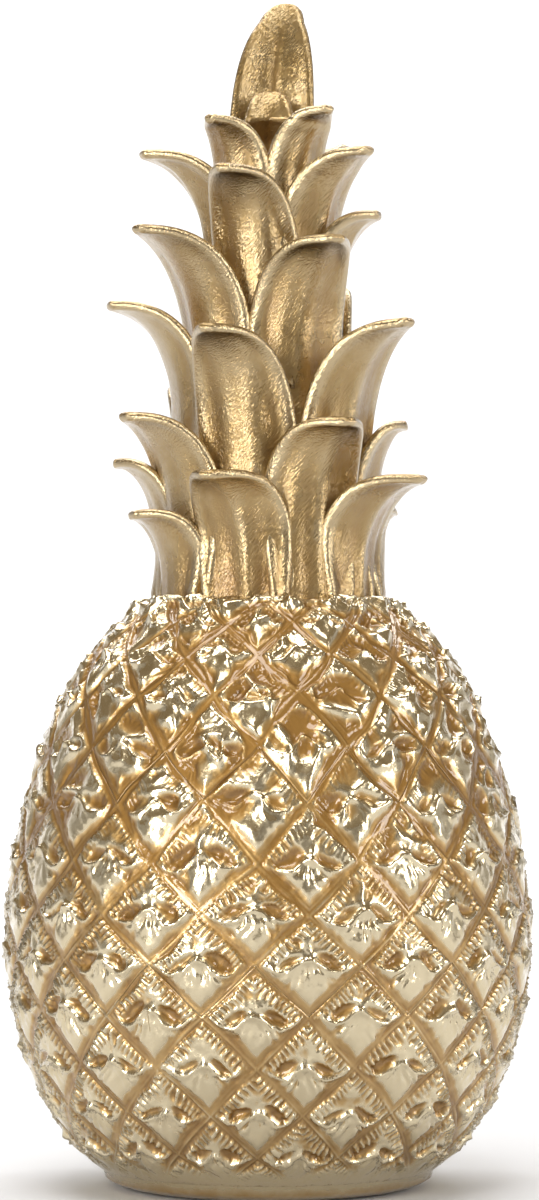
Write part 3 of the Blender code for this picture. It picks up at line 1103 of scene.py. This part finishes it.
    def build(self) -> list[bpy.types.Object]:
        """Build the three bands.

        Returns:
            The bands, lowest first.
        """
        lattice = [self.row(level) for level in range(self.top_row * self.steps_a_scale + 1)]
        around = np.concatenate([level[0] for level in lattice])
        rows = np.concatenate([level[1] for level in lattice])
        points, hollow = self.surface(around, rows)
        cells, cell_rows = self.cells()
        bearings = np.radians(self.scale_bearing + self.row(0)[0] * 180.0 / self.scales_round)
        return [self.build_band(band, Shell(points, hollow, bearings), cells, cell_rows) for band in Band]

    def dress(self, bands: list[bpy.types.Object]) -> None:
        """Give the bands one gold lacquer."""
        material = self.finish.material()
        for band in bands:
            band.data.materials.append(material)


# The crown


class Leaf(NamedTuple):
    """One leaf. Its tip's height and reach from the axis, its length and widths are in mm."""

    bearing: float
    tip: float
    length: float
    reach: float
    half_width: float
    sway: float = 0.0
    droop: float = 0.9
    cup: float = 5.5
    blunt: float = 0.0
    stand: float = 0.0


LEAVES = (
    # the two that stand up in the middle of the top
    Leaf(180, 254, 62, 12, 9.2, -4.0, 0.6, 3.0, 0.58, 7.5),
    Leaf(180, 233, 34, 4, 6.2, -0.5, 0.6, 2.5, 0.75),
    # top ring
    Leaf(-35, 224, 38, 21, 6.6, -0.5),
    Leaf(36, 226, 40, 21, 6.6, 0.5),
    Leaf(120, 222, 38, 20, 8.0),
    Leaf(-68, 217.5, 40, 29, 9.0),
    Leaf(178, 214, 40, 26, 9.0),
    # second ring
    Leaf(-8, 212, 46, 27, 9.0, -6.0, 1.0, 5.5, 0.3),
    Leaf(46, 217, 46, 28, 8.6, 1.5),
    Leaf(70, 205, 44, 25, 9.0),
    Leaf(-140, 202, 44, 31, 9.5),
    # third ring
    Leaf(-50, 200, 50, 35, 10.5, -1.0),
    Leaf(22, 197, 50, 31, 10.5, 3.0, 1.0, 5.5, 0.3),
    Leaf(172, 190, 50, 34, 10.5),
    Leaf(-72, 185.5, 50, 35.5, 10.0),
    # fourth ring, each with its foot on the shoulder of the body
    Leaf(-10, 178, 60, 34, 10.5, -7.0, 1.0, 5.5, 0.3),
    Leaf(46, 180, 62, 39, 10.5, 1.5),
    Leaf(132, 192, 74, 21, 10.0),
    Leaf(84, 161, 44, 29.5, 10.0),
    Leaf(-145, 172, 54, 36, 10.5),
    # lowest ring
    Leaf(-53, 161, 43, 37, 10.5, -1.0),
    Leaf(24, 159, 41, 34, 10.5, 3.0, 1.0, 5.5, 0.3),
    Leaf(170, 156, 38, 37, 10.5),
    Leaf(-86, 153, 35, 33, 9.5),
    Leaf(-12, 148, 30, 34, 10.0, -6.0, 1.0, 5.5, 0.3),
    Leaf(-60, 141, 23, 33, 10.0),
    Leaf(54, 148, 30, 39, 10.5, 1.0),
    Leaf(92, 143, 25, 27, 9.5),
    Leaf(132, 144, 26, 36, 10.0),
    Leaf(-150, 144, 26, 36, 10.0),
)


@dataclass
class Crown:
    """The tall crown: thick leaves that hug a stem and then curl out to a rounded tip."""

    finish: GoldLacquer
    leaves: tuple[Leaf, ...] = LEAVES

    # The stem
    stem_radii_mm: tuple[float, ...] = (20.0, 22.3, 20.6, 18.6, 13.8, 10.8, 8.0, 4.5, 0.6)
    stem_heights_mm: tuple[float, ...] = (112.0, 124.0, 140.0, 156.0, 180.0, 199.0, 213.0, 222.0, 226.0)
    stem_end_mm: float = 214.0
    stem_sides: int = 96
    dome_rings: int = 7
    dome_turn: float = 1.45
    stem_glaze: float = 0.6

    # How a leaf rises along the stem and curls out
    sink_mm: float = 0.4
    lowest_foot_mm: float = 118.0
    curl: float = 2.0
    overlap_mm: float = 1.6
    overlap_tips_mm: tuple[float, float] = (140.0, 180.0)
    spine_step: float = 0.04

    # Its width, as shares of its half width
    foot_share: float = 0.84
    swell_share: float = 0.42
    narrowing_share: float = 0.26
    taper_power: float = 3.2
    taper_rounding: float = 0.8
    square_end_power: int = 8
    tip_share: float = 0.16
    tip_rounding_mm: float = 1.3
    tip_end_share: float = 0.55

    # Its section
    thickness_mm: float = 2.2
    cup_loss: float = 0.72
    freeing_rate: float = 2.5
    freeing_power: float = 1.5
    root_depth_mm: float = 2.5
    root_end: float = 0.35
    root_power: float = 1.5

    # The relief of its faces
    rim_bead_mm: float = 0.16
    keel_mm: float = 0.8
    keel_width_mm: float = 1.8
    keel_wander_mm: float = 2.6
    flute_mm: float = 0.2
    flute_radians_a_mm: float = 1.15
    uneven_mm: float = 0.2
    uneven_pitch_mm: float = 7.0
    crease_mm: float = 0.5
    crease_width_mm: float = 0.9

    # How deep in a hollow its relief counts as, and how much painted shade darkens its inner face and its
    # foot
    relief_glaze: float = 0.45
    inner_face_painted_shade: float = 0.38
    foot_painted_shade: float = 0.3

    # Its mesh, with rows closer together towards the tip
    rows: int = 46
    row_power: float = 1.35
    face_columns: int = 21
    rim_columns: int = 4

    def stem_radius(self, height_mm: np.ndarray) -> np.ndarray:
        """Read the stem's radius at heights, all in mm."""
        return np.interp(height_mm, self.stem_heights_mm, self.stem_radii_mm, right=0.0)

    def blade_width(self, along: np.ndarray, blunt: float) -> np.ndarray:
        """Give a leaf's width along it, as a share of its half width.

        Args:
            along: Place from its foot, 0, to its tip, 1.
            blunt: How square its end is.

        Returns:
            One share for each place.
        """
        swell = self.foot_share + self.swell_share * along - self.narrowing_share * along * along
        taper = np.maximum(0.0, 1.0 - np.maximum(along, 0.0) ** self.taper_power) ** self.taper_rounding
        square_end = blunt * np.sqrt(np.maximum(0.0, 1.0 - along**self.square_end_power))
        return np.maximum(np.maximum(swell * taper, square_end), self.tip_share)

    def spine(self, leaf: Leaf, along: np.ndarray) -> tuple[np.ndarray, np.ndarray]:
        """Follow the middle of a leaf, which hugs the stem and then curls out.

        Args:
            leaf: The leaf.
            along: Places from its foot, 0, to its tip, 1.

        Returns:
            Its distance from the axis and its height at each place, in mm.
        """
        foot = max(leaf.tip - leaf.length, self.lowest_foot_mm)
        height = foot + (leaf.tip - foot) * along * (1.0 + leaf.droop * (1.0 - along))
        lowest, highest = self.overlap_tips_mm
        overlap = self.overlap_mm * min(max((highest - leaf.tip) / (highest - lowest), 0.0), 1.0)
        hugging = np.maximum(self.stem_radius(height), leaf.stand) - self.sink_mm + overlap * (1.0 - along)
        at_tip = max(float(self.stem_radius(np.array([leaf.tip]))[0]), leaf.stand)
        spread = leaf.reach + self.sink_mm - at_tip
        return hugging + spread * np.maximum(along, 0.0) ** self.curl, height

    def middle_surface(self, leaf: Leaf, along: np.ndarray, across: np.ndarray) -> np.ndarray:
        """Place the inner face of a leaf's blade.

        Args:
            leaf: The leaf.
            along: Places from foot to tip, one a point.
            across: Places across, -1 to 1, one a point.

        Returns:
            Points in mm.
        """
        radius, height = self.spine(leaf, along)
        low = self.spine(leaf, along - self.spine_step)
        high = self.spine(leaf, along + self.spine_step)
        angle = math.radians(leaf.bearing)
        level = np.array([math.sin(angle), -math.cos(angle), 0.0])
        sideways = np.array([math.cos(angle), math.sin(angle), 0.0])
        up = np.array([0.0, 0.0, 1.0])
        normal = np.outer(high[1] - low[1], level) - np.outer(high[0] - low[0], up)
        normal /= np.linalg.norm(normal, axis=1)[:, None]
        # The blade follows the stem's roundness at its foot and its own cupped section further up.
        share = self.blade_width(along, leaf.blunt)
        hug = (leaf.half_width * share) ** 2 / (2.0 * radius)
        free = leaf.cup * share * (1.0 - self.cup_loss * along * along)
        loose = np.minimum(1.0, self.freeing_rate * along) ** self.freeing_power
        fold = (hug + (free - hug) * loose) * across * across
        offset = leaf.sway * along * along + leaf.half_width * share * across
        middle = np.outer(radius, level) + np.outer(height, up) + np.outer(offset, sideways)
        return middle - normal * fold[:, None]

    def face_relief(
        self, leaf: Leaf, number: int, along: np.ndarray, across: np.ndarray, spot: np.ndarray
    ) -> np.ndarray:
        """Model the outer face of a leaf: a beaded rim, a keel down the middle and shallow flutes.

        Args:
            leaf: The leaf.
            number: Which leaf it is, so that no two are modelled alike.
            along: Places from foot to tip.
            across: Places across, -1 to 1.
            spot: The points in mm.

        Returns:
            How much higher the face is than a plain one, in mm, never above 0.
        """
        luck = np.random.default_rng(100 + number).random(4)
        half = leaf.half_width * self.blade_width(along, leaf.blunt)
        side_mm = across * half
        edge_mm = (1.0 - np.abs(across)) * half
        body = ease(1.2, 3.2, edge_mm)
        keel_line = side_mm - (luck[0] - 0.5) * self.keel_wander_mm * (1.0 - along)
        keel = self.keel_mm * (0.5 + luck[1]) * (1.0 - along) ** 0.7 * ease(0.0, 0.12, along)
        relief = keel * (np.exp(-np.abs(keel_line) / self.keel_width_mm) - 1.0) * body
        flutes = np.cos(side_mm * self.flute_radians_a_mm + 6.0 * luck[2]) - 1.0
        relief += self.flute_mm * flutes * body * ease(0.95, 0.35, along)
        relief += self.uneven_mm * (HandCarving(40 + number).smooth(spot, self.uneven_pitch_mm) - 1.0) * body
        relief -= self.rim_bead_mm * (1.0 - hump(edge_mm - 0.8, 0.6))
        return relief

    def build_leaf(self, leaf: Leaf, number: int) -> tuple[np.ndarray, list[np.ndarray], np.ndarray]:
        """Build one leaf as a closed shell with rounded rims.

        Args:
            leaf: The leaf.
            number: Which leaf it is.

        Returns:
            Its points in mm, its faces, and how deep in a hollow each point is, with painted shade added on
            the inner face and at the foot.
        """
        along = 1.0 - (1.0 - np.linspace(0.0, 1.0, self.rows)) ** self.row_power
        half_thick = self.thickness_mm / 2.0
        end = np.clip(1.0 - (1.0 - along) * leaf.length / self.tip_rounding_mm, 0.0, 0.995)
        rounding = np.sqrt(1.0 - end * end)
        narrowing = self.tip_end_share + (1.0 - self.tip_end_share) * rounding
        width_mm = leaf.half_width * self.blade_width(along, leaf.blunt) * narrowing

        # The places across: a plain face between two rims that turn a quarter round.
        rim = np.clip(half_thick / width_mm, 0.05, 0.7)[:, None]
        face = np.linspace(-1.0, 1.0, self.face_columns)
        turn = np.linspace(0.0, 1.0, self.rim_columns + 1)[1:] * math.pi / 2.0
        right = (1.0 - rim) + rim * np.sin(turn)
        across = np.concatenate([-right[:, ::-1], face * (1.0 - rim), right], axis=1)
        beyond = np.clip((np.abs(across) - (1.0 - rim)) / rim, 0.0, 1.0)
        full = np.sqrt(np.maximum(0.0, 1.0 - beyond**2)) * rounding[:, None]

        grid_along = np.repeat(along[:, None], across.shape[1], axis=1)
        flat_along = grid_along.ravel()
        inner = self.middle_surface(leaf, flat_along, (across * narrowing[:, None]).ravel())
        relief = self.face_relief(leaf, number, flat_along, across.ravel(), inner).reshape(full.shape)
        inner = inner.reshape(*full.shape, 3)
        normal = np.cross(np.gradient(inner, axis=1), np.gradient(inner, axis=0))
        normal /= np.maximum(np.linalg.norm(normal, axis=2, keepdims=True), 1e-9)
        centre = inner + normal * half_thick

        root = self.root_depth_mm * np.maximum(0.0, 1.0 - grid_along / self.root_end) ** self.root_power
        midrib = hump(across * width_mm[:, None], self.crease_width_mm)
        crease = self.crease_mm * midrib * ease(0.9, 0.4, grid_along)
        outer_face = centre + normal * ((half_thick + relief) * full)[..., None]
        inner_face = centre - normal * ((half_thick - crease + root) * full)[..., None]
        loop = np.concatenate([outer_face, inner_face[:, -2:0:-1]], axis=1)
        # Painted shade: the whole inner face is browned. The crease in it holds glaze.
        depth = np.concatenate([-self.relief_glaze * relief, crease[:, -2:0:-1] + self.inner_face_painted_shade], axis=1)
        # Painted shade: the leaf turns browner towards its foot, where the leaves crowd together.
        depth += self.foot_painted_shade * ease(0.3, 0.0, np.concatenate([grid_along, grid_along[:, :-2]], axis=1))

        index = np.arange(depth.size).reshape(depth.shape)
        faces = [loft(index), index[:1, ::-1], index[-1:]]
        return loop.reshape(-1, 3), faces, np.clip(depth, 0.0, 1.0).ravel()

    def build_stem(self) -> tuple[np.ndarray, list[np.ndarray], np.ndarray]:
        """Turn the stem that the leaves grow from.

        Returns:
            Its points in mm, its faces, and how deep in a hollow each point is.
        """
        end_radius = float(self.stem_radius(np.array([self.stem_end_mm]))[0])
        profile = [
            (radius, height)
            for radius, height in zip(self.stem_radii_mm, self.stem_heights_mm)
            if height < self.stem_end_mm - 2.0
        ]
        profile += [
            (end_radius * math.cos(turn), self.stem_end_mm + 0.5 * end_radius * math.sin(turn))
            for turn in np.linspace(0.0, self.dome_turn, self.dome_rings)
        ]
        points = np.concatenate([level_ring(radius, height, self.stem_sides) for radius, height in profile])
        index = np.arange(len(points)).reshape(len(profile), -1)
        return points, [loft(index), index[:1, ::-1], index[-1:]], np.full(len(points), self.stem_glaze)

    def build(self) -> bpy.types.Object:
        """Gather the stem and the leaves into the crown.

        Returns:
            The crown.
        """
        parts = [self.build_stem()]
        parts += [self.build_leaf(leaf, number) for number, leaf in enumerate(self.leaves)]
        faces = []
        start = 0
        for part_points, part_faces, _ in parts:
            faces += [group + start for group in part_faces]
            start += len(part_points)
        points = np.concatenate([part[0] for part in parts])
        hollow = np.concatenate([part[2] for part in parts])
        return new_mesh_object("leaf_crown", points * MM, faces, {"hollow": hollow})

    def dress(self, crown: bpy.types.Object) -> None:
        """Give the crown its satin gold lacquer."""
        crown.data.materials.append(self.finish.material())


# The studio


@dataclass
class Softbox:
    """A large soft lamp that faces the ornament."""

    name: str
    place: tuple[float, float, float]
    aim: tuple[float, float, float]
    width: float
    height: float
    watts: float

    def build(self) -> None:
        """Hang the lamp."""
        lamp = bpy.data.lights.new(self.name, "AREA")
        lamp.shape = "RECTANGLE"
        lamp.size = self.width
        lamp.size_y = self.height
        lamp.energy = self.watts
        obj = bpy.data.objects.new(self.name, lamp)
        obj.visible_camera = False
        obj.location = self.place
        obj.rotation_mode = "QUATERNION"
        obj.rotation_quaternion = (Vector(self.aim) - Vector(self.place)).to_track_quat("-Z", "Y")
        bpy.context.scene.collection.objects.link(obj)


@dataclass
class Studio:
    """A round cove of pale paper, soft lamps and the camera."""

    paper: StudioPaper
    floor_radius: float = 2.6
    cove_radius: float = 1.0
    wall_top: float = 1.5
    cove_steps: int = 24
    cove_sides: int = 128
    camera_place: tuple[float, float, float] = (0.0, -0.70, 0.088)
    aim_height: float = 0.123
    lens_mm: float = 99.1
    sensor_mm: float = 36.0
    axis_shift_px: float = 1.0
    world_strength: float = 0.27

    def build_cove(self) -> None:
        """Turn the floor, which curves up into a wall all round."""
        profile = [(self.floor_radius, 0.0)]
        for step in range(1, self.cove_steps + 1):
            angle = 0.5 * math.pi * step / self.cove_steps
            out = self.floor_radius + self.cove_radius * math.sin(angle)
            profile.append((out, self.cove_radius * (1.0 - math.cos(angle))))
        profile.append((self.floor_radius + self.cove_radius, self.wall_top))
        rings = [level_ring(radius, height, self.cove_sides) for radius, height in profile]
        points = np.concatenate([*rings, np.zeros((1, 3))])
        index = np.arange(len(points) - 1).reshape(len(rings), -1)
        middle = np.full(self.cove_sides, len(points) - 1)
        floor = np.stack([index[0], np.roll(index[0], -1), middle], axis=1)
        cove = new_mesh_object("paper_cove", points, [loft(index)[:, ::-1], floor], {})
        cove.data.materials.append(self.paper.material())

    def build_lamps(self) -> None:
        """Hang the lamps: one on each side, one overhead, one over the floor behind and two at the wall."""
        middle = (0.0, 0.0, 0.12)
        lamps = (
            Softbox("softbox_left", (-0.9, -1.3, 0.42), middle, 0.55, 0.8, 17.0),
            Softbox("softbox_right", (1.3, -0.8, 0.5), middle, 0.45, 0.8, 10.0),
            Softbox("softbox_top", (-0.15, -0.5, 1.6), middle, 0.9, 0.7, 15.0),
            Softbox("floor_lamp_back", (0.0, 1.7, 2.2), (0.0, 1.9, 0.0), 2.4, 1.6, 70.0),
            Softbox("wall_lamp_left", (-1.3, 1.4, 1.9), (-0.5, 3.4, 0.2), 1.0, 0.5, 30.0),
            Softbox("wall_lamp_right", (1.3, 1.4, 1.9), (0.5, 3.4, 0.2), 1.0, 0.5, 30.0),
        )
        for lamp in lamps:
            lamp.build()

    def build_world(self) -> None:
        """Fill the room with dim, warm light from all round."""
        world = bpy.data.worlds.new("studio_room")
        world.use_nodes = True
        background = world.node_tree.nodes["Background"]
        background.inputs["Color"].default_value = linear("FFE6BE")
        background.inputs["Strength"].default_value = self.world_strength
        bpy.context.scene.world = world

    def build_camera(self) -> None:
        """Place the camera where the photographer stood, a little below the ornament's middle."""
        data = bpy.data.cameras.new("studio_camera")
        data.sensor_fit = "VERTICAL"
        data.sensor_height = self.sensor_mm
        data.lens = self.lens_mm
        data.shift_x = self.axis_shift_px / FRAME_HEIGHT_PX
        data.clip_start = 0.02
        data.clip_end = 20.0
        camera = bpy.data.objects.new("studio_camera", data)
        camera.location = self.camera_place
        rise = self.aim_height - self.camera_place[2]
        camera.rotation_euler = (math.pi / 2.0 + math.atan2(rise, -self.camera_place[1]), 0.0, 0.0)
        bpy.context.scene.collection.objects.link(camera)
        bpy.context.scene.camera = camera

    def build(self) -> None:
        """Set up the whole studio."""
        bpy.context.scene.view_settings.view_transform = "Standard"
        self.build_cove()
        self.build_lamps()
        self.build_world()
        self.build_camera()


def main() -> None:
    """Build the ornament round its solid, then the studio."""
    logging.basicConfig(level=logging.INFO, format="%(name)s: %(message)s")
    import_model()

    glossy = GoldLacquer(
        name="gold_lacquer_glossy_on_cast_resin",
        high_colour="D3C4A2",
        worn_colour="BA9A64",
        hollow_colour="926E38",
        coat_roughness=0.10,
        roughness=0.22,
        glaze_roughness=0.62,
        flake_tilt=0.09,
        brush_mm=0.9,
        brush_height_mm=0.03,
        crease_mm=1.6,
        crease_height_mm=0.02,
    )
    satin = GoldLacquer(
        name="gold_lacquer_satin_on_cast_resin",
        high_colour="B8A37B",
        worn_colour="A18655",
        hollow_colour="8A6A3A",
        coat_roughness=0.14,
        roughness=0.20,
        glaze_roughness=0.40,
        flake_tilt=0.12,
        brush_mm=0.30,
        brush_height_mm=0.2,
        crease_mm=5.0,
        crease_height_mm=0.04,
    )
    body = Body(SkinOutline(), ScaleCarving(), glossy, FINE_STEPS)
    bands = body.build()
    body.dress(bands)
    crown_maker = Crown(satin)
    crown = crown_maker.build()
    crown_maker.dress(crown)
    for piece in (*bands, crown):
        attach(piece, BODY)
        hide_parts(NODE)
        LOG.info("%s: %d faces", piece.name, len(piece.data.polygons))

    Studio(StudioPaper()).build()


if __name__ == "__main__":
    main()
